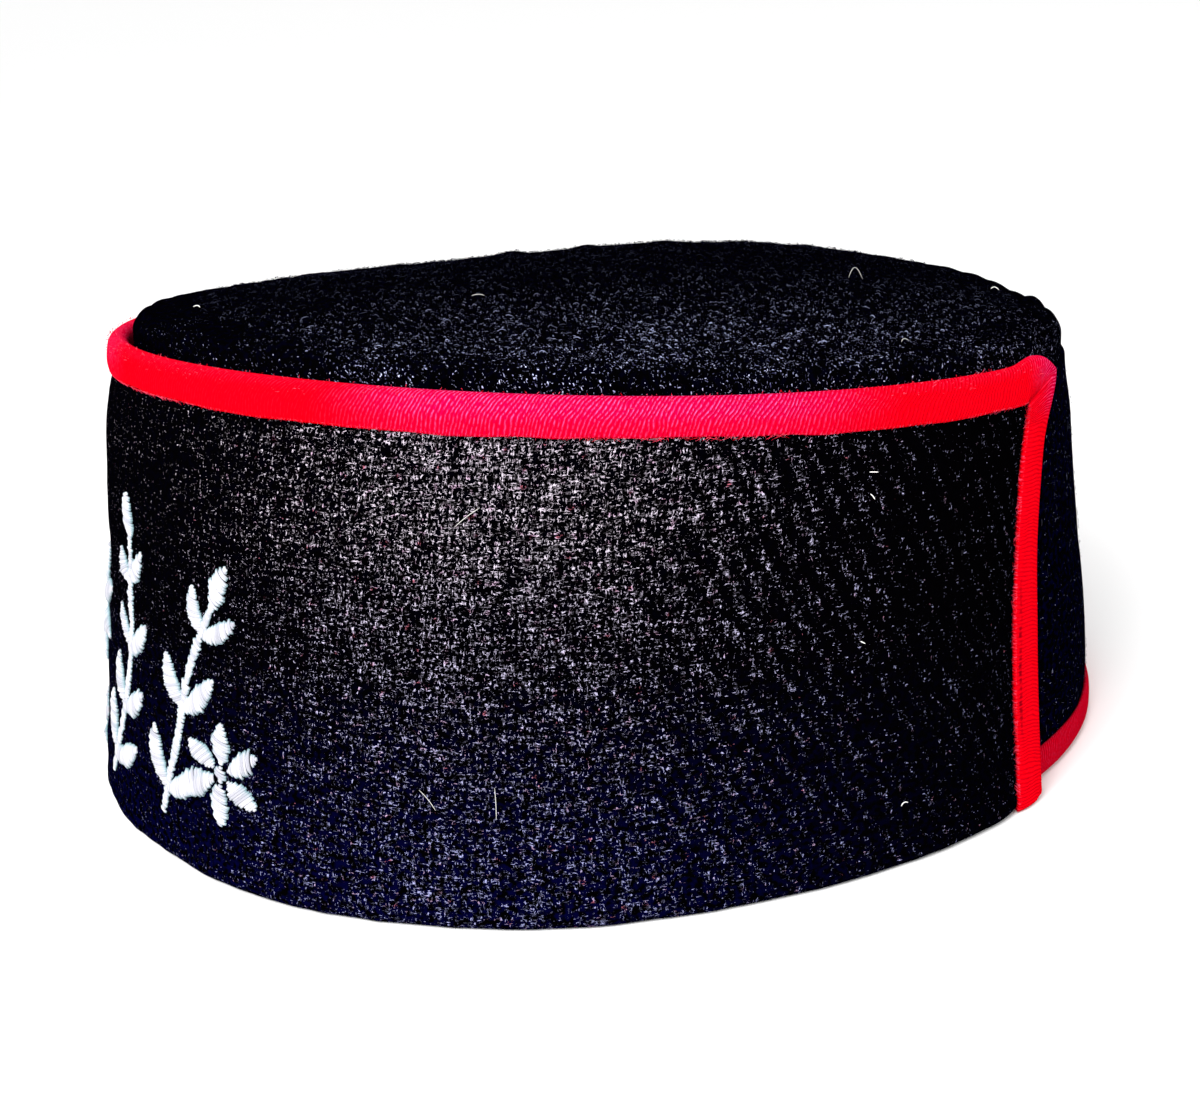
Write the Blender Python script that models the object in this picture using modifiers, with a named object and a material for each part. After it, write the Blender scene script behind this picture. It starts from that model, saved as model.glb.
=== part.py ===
"""Oval felt prayer cap with a turned-up cuff and red ribbon binding.

The cap rests on its lower edge with the crown up and its front towards -Y.
Angles run round the cap from +X, so the back is at 90 degrees and the front at -90.
"""
import math

import bmesh
import bpy

# Oval of the cuff's outer face, in metres, and how it changes from the top edge to the base
HALF_LENGTH = 0.0960
HALF_WIDTH = 0.0781
EGG_SHARE = 0.030
BASE_FLARE = 0.096
FRONT_FLARE = 0.052
WAIST_SHARE = 0.010

# The oval's centre lies this far behind the origin, which is under the middle of the whole cap
CENTRE_SHIFT = 0.0062

# Height of the cuff's top edge above the base, and how it rises and dips round the cap
CUFF_HEIGHT = 0.0874
FRONT_RISE = 0.0062
SIDE_RISE = 0.0038
FAR_WAVE = 0.0018

# Felt and ribbon, and the clearance where two pieces meet
FELT = 0.0020
RIBBON = 0.0007
GAP = 0.0003

# Binding: half the thickness of the edge it rolls over, and the width of its face and tucked side
ROLL = FELT / 2 + GAP + RIBBON
FACE_WIDTH = 0.0066
END_FACE_WIDTH = 0.0088
TUCKED_WIDTH = 0.0060

# Fold at the cuff's lower edge: its outer radius, and its short upright leg under the body's wall,
# whose inner edge hangs a little lower than its outer edge because the wall slopes
FOLD_RADIUS = 0.0022
FOLD_LEG = 0.0004
WALL_SLOPE_DROP = 0.0004
WALL_FOOT = FOLD_RADIUS + FOLD_LEG + WALL_SLOPE_DROP + GAP
HEM_DROP = 0.0009

# The cuff's ends stand this many degrees behind the sides and lean back towards the top
CUFF_END = 41.4
END_LEAN = 4.3

# Crown: its lip above the cuff's top edge, the dome's rise, the shoulder's radius, the skirt's
# drop below it, and how far the skirt is drawn in from the wall
CROWN_LIP = 0.0032
CROWN_DOME = 0.0071
SHOULDER = 0.0035
SKIRT = 0.0040
SKIRT_INSET = 0.0006

# Depths below the cuff's outer face, and how far the wall eases out where no cuff holds it
WALL_DEPTH = FELT + GAP + RIBBON + GAP
CROWN_DEPTH = WALL_DEPTH + SKIRT_INSET
BACK_EASE = 0.0018

# The felt swells past its pinched, bound edges, reaching most of this within the run
CUFF_SWELL = 0.0019
SWELL_RUN = 0.0060

# Facets round the whole cap, along the cuff and along the open back
ROUND_STEPS = 80
CUFF_STEPS = 60
BACK_STEPS = 20

# Length over which the binding's face turns from the mitre to square across, the height at which
# its ends start to turn under, and how high its face and its tucked side stop above the base
MITRE_FAN = 0.0100
FOOT_KNEE = 0.0042
FACE_FOOT = 0.0004
TUCKED_FOOT = 0.0034


def oval(angle, level):
    """Point of the cuff's outer face, level 0 at the base and 1 at the top edge.

    An ellipse that is egg-shaped at the top, flared at the base and slightly hollow between."""
    share = 1.0 + EGG_SHARE * level * math.sin(3 * angle)
    share += (1.0 - level) * (BASE_FLARE - FRONT_FLARE * math.sin(angle))
    share -= WAIST_SHARE * math.sin(math.pi * min(level, 1.0))
    return HALF_WIDTH * share * math.cos(angle), HALF_LENGTH * share * math.sin(angle)


def rise(angle):
    """How much the top edge stands above or below its mean height."""
    far_side = (1.0 - math.cos(angle)) / 2
    return (SIDE_RISE * math.cos(angle) - FRONT_RISE * math.sin(angle)
            - FAR_WAVE * math.sin(2 * angle) * far_side)


def rim_height(angle):
    return CUFF_HEIGHT + rise(angle)


def wall_point(angle, height, depth):
    """Point at a height, set in from the cuff's outer face by a depth square to the oval."""
    level = height / rim_height(angle)
    x, y = oval(angle, level)
    step = 1e-4
    before = oval(angle - step, level)
    after = oval(angle + step, level)
    run_x, run_y = after[0] - before[0], after[1] - before[1]
    run = math.hypot(run_x, run_y)
    return x - depth * run_y / run, y + depth * run_x / run, height


def end_angle(height):
    """Angle of the cuff's near end at a height."""
    level = height / rim_height(math.radians(CUFF_END))
    return math.radians(CUFF_END + END_LEAN * max(level, 0.0) ** 3)


def arc_length(start, end, level):
    """Length of the oval between two angles, as the sum of short chords."""
    count = 200
    points = [oval(start + (end - start) * k / count, level) for k in range(count + 1)]
    return sum(math.dist(a, b) for a, b in zip(points, points[1:]))


CUFF_LENGTH = arc_length(math.radians(CUFF_END), -math.pi - math.radians(CUFF_END), 0.5)
BACK_LENGTH = arc_length(math.radians(CUFF_END), math.pi - math.radians(CUFF_END), 0.0)


def cuff_point(along, height, depth):
    """The cuff's flat pattern bent round the cap: along runs from the near end over the front."""
    end = end_angle(height)
    angle = end - (math.pi + 2 * end) * along / CUFF_LENGTH
    return wall_point(angle, height, depth)


def cuff_rim(along):
    """Height of the cuff's bound top edge over a point of its flat pattern."""
    end = math.radians(CUFF_END + END_LEAN)
    return rim_height(end - (math.pi + 2 * end) * along / CUFF_LENGTH)


def back_point(along, height, depth):
    """The stretch between the cuff's ends: along runs from the near end over the back."""
    end = end_angle(height)
    angle = end + (math.pi - 2 * end) * along / BACK_LENGTH
    return wall_point(angle, height, depth - back_ease(angle))


def back_ease(angle):
    """How far the wall eases out at the back, from nothing at the cuff's ends."""
    held = math.sin(math.radians(CUFF_END + END_LEAN))
    return BACK_EASE * max(0.0, (math.sin(angle) - held) / (1.0 - held))


def bent_sheet(name, columns, rows, place, thickness, colour, roughness):
    """Flat grid whose vertices move to place(column, row), thickened on its inner side."""
    form = bmesh.new()
    bmesh.ops.create_grid(form, x_segments=columns, y_segments=rows, size=0.5)
    for vertex in form.verts:
        column = round((vertex.co.x + 0.5) * columns)
        row = round((vertex.co.y + 0.5) * rows)
        x, y, z = place(column, row)
        vertex.co = (x, y + CENTRE_SHIFT, z)
    bmesh.ops.remove_doubles(form, verts=form.verts, dist=1e-5)
    mesh = bpy.data.meshes.new(name)
    form.to_mesh(mesh)
    form.free()
    mesh.shade_smooth()
    mesh.set_sharp_from_angle(angle=math.radians(50))
    mesh.materials.append(surface(name, colour, roughness))
    piece = bpy.data.objects.new(name, mesh)
    cap.objects.link(piece)
    wall = piece.modifiers.new("thickness", 'SOLIDIFY')
    wall.thickness = thickness
    wall.offset = -1.0
    wall.use_even_offset = True
    wall.use_quality_normals = True
    return piece


def surface(name, colour, roughness):
    material = bpy.data.materials.new(name)
    material.use_nodes = True
    shader = material.node_tree.nodes["Principled BSDF"]
    shader.inputs["Base Color"].default_value = (*colour, 1.0)
    shader.inputs["Roughness"].default_value = roughness
    shader.inputs["Metallic"].default_value = 0.0
    return material


def round_angle(column):
    return 2 * math.pi * column / ROUND_STEPS


def build_crown_top():
    """Domed oval panel with a rounded shoulder and a short turned-down skirt.

    Its rows run from the skirt's foot up over the shoulder and in to the middle."""
    turn = [math.radians(degrees) for degrees in (90, 60, 30, 0)]
    shares = (0.88, 0.74, 0.58, 0.40, 0.20, 0.0)
    rows = [(0.0, SHOULDER + SKIRT, 1.0)]
    rows += [(SHOULDER * (1 - math.sin(t)), SHOULDER * (1 - math.cos(t)), 1.0) for t in turn]
    rows += [(SHOULDER, 0.0, share) for share in shares]

    def place(column, row):
        inset, drop, share = rows[row]
        angle = round_angle(column)
        x, y, _ = wall_point(angle, rim_height(angle), CROWN_DEPTH + inset)
        height = CUFF_HEIGHT + share * rise(angle) + CROWN_LIP
        height += CROWN_DOME * (1 - share ** 2) - drop
        return share * x, share * y, height

    return bent_sheet("crown_top", ROUND_STEPS, len(rows) - 1, place, FELT,
                      (0.012, 0.012, 0.016), 0.95)


def build_crown_wall():
    """Side wall of the body, from the crown's skirt down to the fold or the back hem."""
    levels = (0.0, 0.25, 0.5, 0.75, 1.0)
    open_back = math.sin(math.radians(CUFF_END + END_LEAN))

    def place(column, row):
        angle = round_angle(column)
        foot = WALL_FOOT - HEM_DROP * (math.sin(angle) > open_back)
        top = rim_height(angle) + CROWN_LIP - SHOULDER - SKIRT - GAP
        return wall_point(angle, foot + (top - foot) * levels[row], WALL_DEPTH - back_ease(angle))

    return bent_sheet("crown_wall", ROUND_STEPS, len(levels) - 1, place, FELT,
                      (0.010, 0.010, 0.018), 0.95)


def build_cuff():
    """Turned-up cuff: an upright face and the fold that brings it under the body's wall."""
    shares = (1.0, 0.9, 0.7, 0.45, 0.2, 0.0)
    upright = 1 + len(shares)
    free_length = CUFF_LENGTH - 2 * END_FACE_WIDTH
    far_leg = WALL_DEPTH + FELT
    turn = [math.radians(degrees) for degrees in (30, 60, 90)]
    fold = [(FOLD_RADIUS * (1 - math.cos(t)), FOLD_RADIUS * (1 - math.sin(t)), 1.0) for t in turn]
    fold += [(far_leg - depth, height, 0.0) for depth, height, _ in reversed(fold)]
    fold += [(far_leg, FOLD_RADIUS, 0.0), (far_leg, FOLD_RADIUS + FOLD_LEG, 0.0)]

    def column_along(column):
        """The first and last columns lie under the end bindings, the rest are spread evenly."""
        if column in (0, CUFF_STEPS):
            return ROLL if column == 0 else CUFF_LENGTH - ROLL
        return END_FACE_WIDTH + free_length * (column - 1) / (CUFF_STEPS - 2)

    def swell(along, height):
        """How far the felt stands out, from its distance to the nearest bound edge."""
        free = min(along - END_FACE_WIDTH, CUFF_LENGTH - END_FACE_WIDTH - along,
                   cuff_rim(along) - FACE_WIDTH - height)
        return CUFF_SWELL * (1.0 - math.exp(-max(0.0, free) / SWELL_RUN))

    def place(column, row):
        along = column_along(column)
        if row >= upright:
            depth, height, swollen = fold[row - upright]
            return cuff_point(along, height, depth - swollen * swell(along, height))
        if row == 0:
            return cuff_point(along, cuff_rim(along) - ROLL, 0.0)
        bound = cuff_rim(along) - FACE_WIDTH
        height = FOLD_RADIUS + (bound - FOLD_RADIUS) * shares[row - 1]
        return cuff_point(along, height, -swell(along, height))

    return bent_sheet("cuff", CUFF_STEPS, upright + len(fold) - 1, place, FELT,
                      (0.014, 0.013, 0.016), 0.95)


def rolled_edge(face, tucked, middle):
    """Rows of a ribbon rolled over an edge, from its tucked side to its face.

    Each row is its reach back from the edge and its depth; middle is the depth of the edge's core."""
    rows = [(tucked, middle + ROLL)]
    for degrees in (180, 135, 90, 45, 0):
        turn = math.radians(degrees)
        rows.append((ROLL * (1 - math.sin(turn)), middle - ROLL * math.cos(turn)))
    rows.append((face, middle - ROLL))
    return rows


def build_cuff_binding():
    """Ribbon over the cuff's free edge: up one end, mitred, along the top and down the other."""
    rows = rolled_edge(FACE_WIDTH, TUCKED_WIDTH, FELT / 2)
    end_reach = [reach for reach, _ in rows[:-1]] + [END_FACE_WIDTH]
    feet = [TUCKED_FOOT] * 3 + [(TUCKED_FOOT + 2 * FACE_FOOT) / 3] + [FACE_FOOT] * 3
    drops = (0.0025, 0.0050, MITRE_FAN, 0.0200, 0.0350, 0.0500, 0.0650)
    lifts = (1.0, 0.5, 0.0)
    side = [("drop", drop) for drop in drops] + [("lift", lift) for lift in lifts]
    stations = [("near", *step) for step in reversed(side)]
    stations += [("top", "column", column) for column in range(CUFF_STEPS + 1)]
    stations += [("far", *step) for step in side]

    def slant(distance):
        """Share of the mitre's 45 degrees left at a distance from the corner."""
        return max(0.0, 1.0 - distance / MITRE_FAN)

    def tuck(height):
        """How far the face turns under at its foot, following the cuff's fold."""
        low = max(FOLD_RADIUS - height, 0.0)
        radius = FOLD_RADIUS + GAP + RIBBON
        return radius - math.sqrt(radius ** 2 - low ** 2)

    def place(column, row):
        reach, depth = rows[row]
        part, kind, where = stations[column]
        if part == "top":
            near = CUFF_LENGTH * where / CUFF_STEPS
            far = CUFF_LENGTH - near
            along = near + end_reach[row] * (slant(near) - slant(far))
            return cuff_point(along, cuff_rim(along) - reach, depth)
        border = 0.0 if part == "near" else CUFF_LENGTH
        along = abs(border - end_reach[row])
        if kind == "lift":
            height = feet[row] + where * (FOOT_KNEE - feet[row])
            return cuff_point(along, height, depth + tuck(height))
        return cuff_point(along, cuff_rim(border) - where - reach * slant(where), depth)

    return bent_sheet("cuff_binding", len(stations) - 1, len(rows) - 1, place, RIBBON,
                      (0.85, 0.004, 0.02), 0.45)


def build_hem_binding():
    """Ribbon over the body's lower edge between the cuff's ends."""
    rows = rolled_edge(FACE_WIDTH, TUCKED_WIDTH, WALL_DEPTH + FELT / 2)
    foot = WALL_FOOT - HEM_DROP - ROLL

    def place(column, row):
        reach, depth = rows[row]
        along = GAP + (BACK_LENGTH - 2 * GAP) * column / BACK_STEPS
        return back_point(along, foot + reach, depth)

    return bent_sheet("hem_binding", BACK_STEPS, len(rows) - 1, place, RIBBON,
                      (0.60, 0.003, 0.02), 0.45)


for old in list(bpy.data.objects):
    bpy.data.objects.remove(old, do_unlink=True)
cap = bpy.data.collections.new("prayer_cap")
bpy.context.scene.collection.children.link(cap)

build_crown_top()
build_crown_wall()
build_cuff()
build_cuff_binding()
build_hem_binding()
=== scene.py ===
import math

import bpy
import numpy as np
from mathutils import Matrix


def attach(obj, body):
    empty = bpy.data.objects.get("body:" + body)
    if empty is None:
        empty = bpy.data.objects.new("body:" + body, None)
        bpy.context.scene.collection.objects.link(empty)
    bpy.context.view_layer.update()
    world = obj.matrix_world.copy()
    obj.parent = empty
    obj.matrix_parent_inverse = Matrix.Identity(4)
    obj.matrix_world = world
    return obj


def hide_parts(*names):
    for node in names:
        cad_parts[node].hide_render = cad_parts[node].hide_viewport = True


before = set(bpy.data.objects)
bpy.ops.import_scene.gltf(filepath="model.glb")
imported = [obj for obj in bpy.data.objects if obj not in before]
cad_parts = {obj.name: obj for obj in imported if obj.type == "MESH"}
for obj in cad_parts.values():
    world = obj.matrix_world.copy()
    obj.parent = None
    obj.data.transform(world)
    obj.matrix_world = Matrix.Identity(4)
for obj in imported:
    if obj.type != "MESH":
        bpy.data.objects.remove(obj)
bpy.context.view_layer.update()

# Oval felt prayer cap with a turned-up cuff and a red ribbon binding.
# The front is towards -Y, the open back towards +Y; angles run from +X over the back.
# Lengths are in metres. A felt's UV map holds its flat cloth in metres too.

# Form of the cap

cap = {
    "halfLength": 0.096, "halfWidth": 0.0781,      # oval of the cuff's outer face
    "egg": 0.03, "baseFlare": 0.096, "frontFlare": 0.052, "waist": 0.01,
    "centreShift": 0.0062,                          # the oval's middle behind the cap's middle
    "cuffHeight": 0.0874, "frontRise": 0.0062, "sideRise": 0.0038, "farWave": 0.0018,
    "endAngle": 41.4, "endLean": 4.3,               # where the cuff's ends stand, in degrees
    "felt": 0.002, "ribbon": 0.0007, "gap": 0.0003,
    "roll": 0.002, "faceWidth": 0.0066, "endFaceWidth": 0.0088, "tuckedWidth": 0.006,
    "foldRadius": 0.0022, "foldLeg": 0.0004, "wallFoot": 0.0033, "hemDrop": 0.0009,
    "crownLip": 0.0032, "crownDome": 0.0071, "shoulder": 0.0035, "skirt": 0.004,
    "wallDepth": 0.0033, "crownDepth": 0.0039, "backEase": 0.0018,
    "cuffSwell": 0.0019, "swellRun": 0.006,
}


# An ellipse, times 1 + egg sin(3 angle) at the top, flared towards the base, drawn in between
def ovalAt(angle, level):
    share = 1 + cap["egg"] * level * np.sin(3 * angle)
    share = share + (1 - level) * (cap["baseFlare"] - cap["frontFlare"] * np.sin(angle))
    share = share - cap["waist"] * np.sin(np.pi * np.minimum(level, 1))
    return cap["halfWidth"] * share * np.cos(angle), cap["halfLength"] * share * np.sin(angle)


# One wave round the cap, higher at the front and the near side, and a small one on the far side
def riseAt(angle):
    farSide = (1 - np.cos(angle)) / 2
    return (cap["sideRise"] * np.cos(angle) - cap["frontRise"] * np.sin(angle)
            - cap["farWave"] * np.sin(2 * angle) * farSide)


def rimAt(angle):
    return cap["cuffHeight"] + riseAt(angle)


smallTurn = 1e-4
smallStep = 0.0004


# The oval's point at that height, moved in by depth square to the oval
def wallAt(angle, height, depth):
    level = height / rimAt(angle)
    x, y = ovalAt(angle, level)
    beforeX, beforeY = ovalAt(angle - smallTurn, level)
    afterX, afterY = ovalAt(angle + smallTurn, level)
    runX, runY = afterX - beforeX, afterY - beforeY
    run = np.hypot(runX, runY)
    x = x - depth * runY / run
    y = y + depth * runX / run + cap["centreShift"]
    return stacked(x, y, height)


# The cuff's end leans back by the cube of its level
def endAt(height):
    level = np.maximum(height / rimAt(math.radians(cap["endAngle"])), 0)
    return np.radians(cap["endAngle"] + cap["endLean"] * level ** 3)


def arcLength(start, end, level):
    angle = np.linspace(start, end, 201)
    chords = np.diff(np.stack(ovalAt(angle, level)), axis=1)
    return float(np.hypot(*chords).sum())


endAngle = math.radians(cap["endAngle"])
cuffLength = arcLength(endAngle, -math.pi - endAngle, 0.5)
backLength = arcLength(endAngle, math.pi - endAngle, 0.0)
topEnd = math.radians(cap["endAngle"] + cap["endLean"])


# The cuff's flat cloth bent round the cap: along runs from the near end over the front
def cuffAngle(along, height):
    end = endAt(height)
    return end - (np.pi + 2 * end) * along / cuffLength


def cuffAt(along, height, depth):
    return wallAt(cuffAngle(along, height), height, depth)


def cuffRim(along):
    return rimAt(topEnd - (np.pi + 2 * topEnd) * along / cuffLength)


# 0 at the cuff's ends, 1 in the middle of the open back
def openShare(angle):
    held = math.sin(topEnd)
    return np.maximum(0, (np.sin(angle) - held) / (1 - held))


def backEase(angle):
    return cap["backEase"] * openShare(angle)


def backAt(along, height, depth):
    end = endAt(height)
    angle = end + (np.pi - 2 * end) * along / backLength
    return wallAt(angle, height, depth - backEase(angle))


# t t (3 - 2 t) between low and high
def easeOf(value, low, high):
    t = np.clip((value - low) / (high - low), 0, 1)
    return t * t * (3 - 2 * t)


# Random numbers on a lattice that repeats, blended between neighbours by t t (3 - 2 t)
def unevenness(u, v, cell, seed):
    wide, tall = 97, 89
    table = np.random.default_rng(seed).uniform(-1, 1, (wide, tall))
    x, y = u / cell, v / cell
    i, j = np.floor(x).astype(int), np.floor(y).astype(int)
    s, t = easeOf(x - i, 0, 1), easeOf(y - j, 0, 1)

    def row(j):
        return table[i % wide, j % tall] * (1 - s) + table[(i + 1) % wide, j % tall] * s

    return row(j) * (1 - t) + row(j + 1) * t


# Arrays side by side in a last axis
def stacked(*parts):
    return np.stack(np.broadcast_arrays(*parts), -1)


def unit(vectors):
    return vectors / np.linalg.norm(vectors, axis=-1, keepdims=True)


# Equal turns round a circle, its first and last the same
def circleOf(count):
    return 2 * np.pi * np.arange(count + 1) / count


# Meshes

def shownMesh(name, points, faces, material):
    mesh = bpy.data.meshes.new(name)
    mesh.from_pydata(points.reshape(-1, 3).tolist(), [], faces)
    mesh.materials.append(material)
    mesh.shade_smooth()
    piece = bpy.data.objects.new(name, mesh)
    bpy.context.scene.collection.objects.link(piece)
    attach(piece, "root")
    return piece


# A grid of rows and columns; its flat cloth is flat[row, column], in metres.
# A closed grid's last column of flat joins its first points again, and a pole ends it in one point.
def clothGrid(name, points, flat, material, thickness, closed=False, pole=False):
    rows, columns = points.shape[:2]
    index = np.arange(rows * columns).reshape(rows, columns)
    flatIndex = np.arange(flat.shape[0] * flat.shape[1]).reshape(flat.shape[:2])
    if closed:
        index = np.concatenate([index, index[:, :1]], axis=1)
    last = rows - 2 if pole else rows - 1
    corners = []
    for grid in (index, flatIndex):
        upper, lower = grid[:last], grid[1:last + 1]
        quads = np.stack([upper[:, :-1], upper[:, 1:], lower[:, 1:], lower[:, :-1]], -1)
        parts = [quads.reshape(-1, 4)]
        if pole:
            parts.append(np.stack([grid[last, :-1], grid[last, 1:], grid[last + 1, :-1]], -1))
        corners.append(parts)
    faces = corners[0][0].tolist()
    kept = points.reshape(-1, 3)
    if pole:
        fan = corners[0][1].copy()
        fan[:, 2] = (rows - 1) * columns
        faces += fan.tolist()
        kept = kept[:(rows - 1) * columns + 1]
    piece = shownMesh(name, kept, faces, material)
    layer = piece.data.uv_layers.new(name="flatCloth")
    uv = flat.reshape(-1, 2)[np.concatenate([part.ravel() for part in corners[1]])]
    layer.data.foreach_set("uv", uv.astype(np.float32).ravel())
    if thickness:
        wall = piece.modifiers.new("thickness", "SOLIDIFY")
        wall.thickness = thickness
        wall.offset = -1
        wall.use_even_offset = True
        wall.use_quality_normals = True
    return piece


# Each path is swept by a ring: centre + radius (cos turn lift + sin turn across)
def threads(name, paths, radii, normals, sides, material, tone, edge=None):
    count, steps = paths.shape[:2]
    tangent = unit(np.gradient(paths, axis=1))
    across = unit(np.cross(tangent, normals[:, None]))
    lift = np.cross(across, tangent)
    turn = 2 * np.pi * np.arange(sides)[:, None] / sides
    ring = np.cos(turn) * lift[:, :, None] + np.sin(turn) * across[:, :, None]
    points = paths[:, :, None] + radii[:, :, None, None] * ring
    index = np.arange(count * steps * sides).reshape(count, steps, sides)
    beside = np.roll(index, -1, axis=2)
    quads = np.stack([index[:, :-1], beside[:, :-1], beside[:, 1:], index[:, 1:]], -1).reshape(-1, 4)
    faces = quads.tolist() + index[:, 0, ::-1].tolist() + index[:, -1].tolist()
    piece = shownMesh(name, points, faces, material)
    values = {"tone": np.broadcast_to(tone[:, None, None], (count, steps, sides))}
    if edge is not None:
        values["edge"] = np.broadcast_to(edge[:, :, None], (count, steps, sides))
    for label, value in values.items():
        attribute = piece.data.attributes.new(label, "FLOAT", "POINT")
        attribute.data.foreach_set("value", np.ascontiguousarray(value, dtype=np.float32).ravel())
    return piece


# Node helpers and the effects that several materials share

def addNode(tree, kind, sockets, **settings):
    node = tree.nodes.new("ShaderNode" + kind)
    for key, value in settings.items():
        setattr(node, key, value)
    for key, value in sockets.items():
        if isinstance(value, bpy.types.NodeSocket):
            tree.links.new(value, node.inputs[key])
        else:
            node.inputs[key].default_value = value
    return node


def mathOf(tree, operation, *values):
    return addNode(tree, "Math", dict(enumerate(values)), operation=operation).outputs[0]


def vectorOf(tree, operation, first, second):
    key = "Scale" if operation == "SCALE" else 1
    return addNode(tree, "VectorMath", {0: first, key: second}, operation=operation).outputs[0]


# The values are added or multiplied one after another
def chained(tree, operation, *values):
    result = values[0]
    for value in values[1:]:
        result = mathOf(tree, operation, result, value)
    return result


def productOf(tree, *values):
    return chained(tree, "MULTIPLY", *values)


# |value - middle|
def distanceOf(tree, value, middle):
    return mathOf(tree, "ABSOLUTE", mathOf(tree, "SUBTRACT", value, middle))


# sin(2 pi value / pitch)
def waveOf(tree, value, pitch):
    return mathOf(tree, "SINE", productOf(tree, value, 2 * math.pi / pitch))


def spread(tree, value, low, high, toLow=0.0, toHigh=1.0, kind="LINEAR"):
    sockets = {"Value": value, "From Min": low, "From Max": high, "To Min": toLow, "To Max": toHigh}
    return addNode(tree, "MapRange", sockets, interpolation_type=kind).outputs[0]


def fade(tree, value, low, high, toLow=0.0, toHigh=1.0):
    return spread(tree, value, low, high, toLow, toHigh, "SMOOTHSTEP")


def blendOf(tree, share, first, second):
    return addNode(tree, "Mix", {"Factor": share, 6: first, 7: second}, data_type="RGBA").outputs[2]


def noiseOf(tree, place, scale, detail, roughness=0.5, output="Fac"):
    sockets = {"Vector": place, "Scale": scale, "Detail": detail, "Roughness": roughness}
    return addNode(tree, "TexNoise", sockets).outputs[output]


def partsOf(tree, vector):
    return addNode(tree, "SeparateXYZ", {0: vector}).outputs[:2]


# A group that is given the cloth's place and some values
def newGroup(name, values, results):
    group = bpy.data.node_groups.new(name, "ShaderNodeTree")
    group.interface.new_socket("Cloth", in_out="INPUT", socket_type="NodeSocketVector")
    for label, value in values.items():
        socket = group.interface.new_socket(label, in_out="INPUT", socket_type="NodeSocketFloat")
        socket.default_value = value
    for label in results:
        group.interface.new_socket(label, in_out="OUTPUT", socket_type="NodeSocketFloat")
    given = group.nodes.new("NodeGroupInput").outputs
    wanted = group.nodes.new("NodeGroupOutput").inputs
    return group, given, wanted


# Scales count bumps for each metre, or for each fibre's length
fleckLook = {
    "wanderScale": 1900.0, "shifts": (3.7, 11.3), "dashRoughness": 0.4,
    "curlScale": 0.95, "wormHalf": 0.055, "wormLevel": 0.3, "breakScale": 1.35, "breakShare": 0.62,
    "patchScale": 360.0, "patchShare": 0.16, "needed": (0.86, 0.58), "edge": (0.004, 0.052),
    "toneScale": 800.0, "toneRange": (0.35, 0.65), "heightRange": (-0.12, 0.12),
}


# Loose fibres: thin level lines of a noise, broken into short worms, and short dashes both ways
def makeFleckGroup():
    look = fleckLook
    values = {"Length": 0.0009, "Width": 0.00022, "Amount": 0.5, "Wander": 0.0005}
    group, given, wanted = newGroup("looseFibres", values, ("Mask", "Tone", "Height"))
    wander = noiseOf(group, given["Cloth"], look["wanderScale"], 1.0, output="Color")
    centred = vectorOf(group, "SUBTRACT", wander, (0.5, 0.5, 0.5))
    cloth = vectorOf(group, "ADD", given["Cloth"], vectorOf(group, "SCALE", centred, given["Wander"]))
    long = mathOf(group, "DIVIDE", 1.0, given["Length"])
    thin = mathOf(group, "DIVIDE", 1.0, given["Width"])
    dashes = []
    for first, second, shift in zip((long, thin), (thin, long), look["shifts"]):
        scale = addNode(group, "CombineXYZ", {0: first, 1: second, 2: 0.0}).outputs[0]
        moved = vectorOf(group, "ADD", vectorOf(group, "MULTIPLY", cloth, scale), (shift, shift, shift))
        dashes.append(noiseOf(group, moved, 1.0, 1.0, look["dashRoughness"]))
    scaled = vectorOf(group, "SCALE", cloth, long)
    curl = noiseOf(group, scaled, look["curlScale"], 1.5, 0.6)
    worm = spread(group, distanceOf(group, curl, 0.5), 0.0, look["wormHalf"], look["wormLevel"], 0.0)
    breaks = noiseOf(group, scaled, look["breakScale"], 0.0)
    broken = mathOf(group, "MULTIPLY_ADD", breaks, look["breakShare"], worm)
    best = chained(group, "MAXIMUM", *dashes, broken)
    patches = noiseOf(group, given["Cloth"], look["patchScale"], 3.0)
    level = mathOf(group, "MULTIPLY_ADD", patches, look["patchShare"], best)
    needed = spread(group, given["Amount"], 0.0, 1.0, *look["needed"])
    above = mathOf(group, "SUBTRACT", level, needed)
    tones = noiseOf(group, given["Cloth"], look["toneScale"], 1.0)
    group.links.new(fade(group, above, *look["edge"]), wanted["Mask"])
    group.links.new(spread(group, tones, *look["toneRange"]), wanted["Tone"])
    group.links.new(spread(group, above, *look["heightRange"]), wanted["Height"])
    return group


weaveLook = {"driftScale": 240.0, "drift": 0.001, "softness": 0.15}


# Plain weave: |sin x| where the warp is on top, |sin y| where the weft is
def makeWeaveGroup():
    group, given, wanted = newGroup("plainWeave", {"Pitch": 0.0013}, ["Height"])
    drift = noiseOf(group, given["Cloth"], weaveLook["driftScale"], 1.0)
    waves = []
    for part in partsOf(group, given["Cloth"]):
        moved = mathOf(group, "MULTIPLY_ADD", drift, weaveLook["drift"], part)
        waves.append(waveOf(group, mathOf(group, "DIVIDE", moved, given["Pitch"]), 2.0))
    parity = fade(group, productOf(group, *waves), -weaveLook["softness"], weaveLook["softness"])
    warp, weft = (mathOf(group, "ABSOLUTE", wave) for wave in waves)
    rise = mathOf(group, "SUBTRACT", warp, weft)
    group.links.new(mathOf(group, "MULTIPLY_ADD", rise, parity, weft), wanted["Height"])
    return group


ribLook = {"driftScale": 110.0, "drift": 0.003, "strandScales": (3600.0, 1100.0, 1.0), "strandHeight": 0.7}


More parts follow.
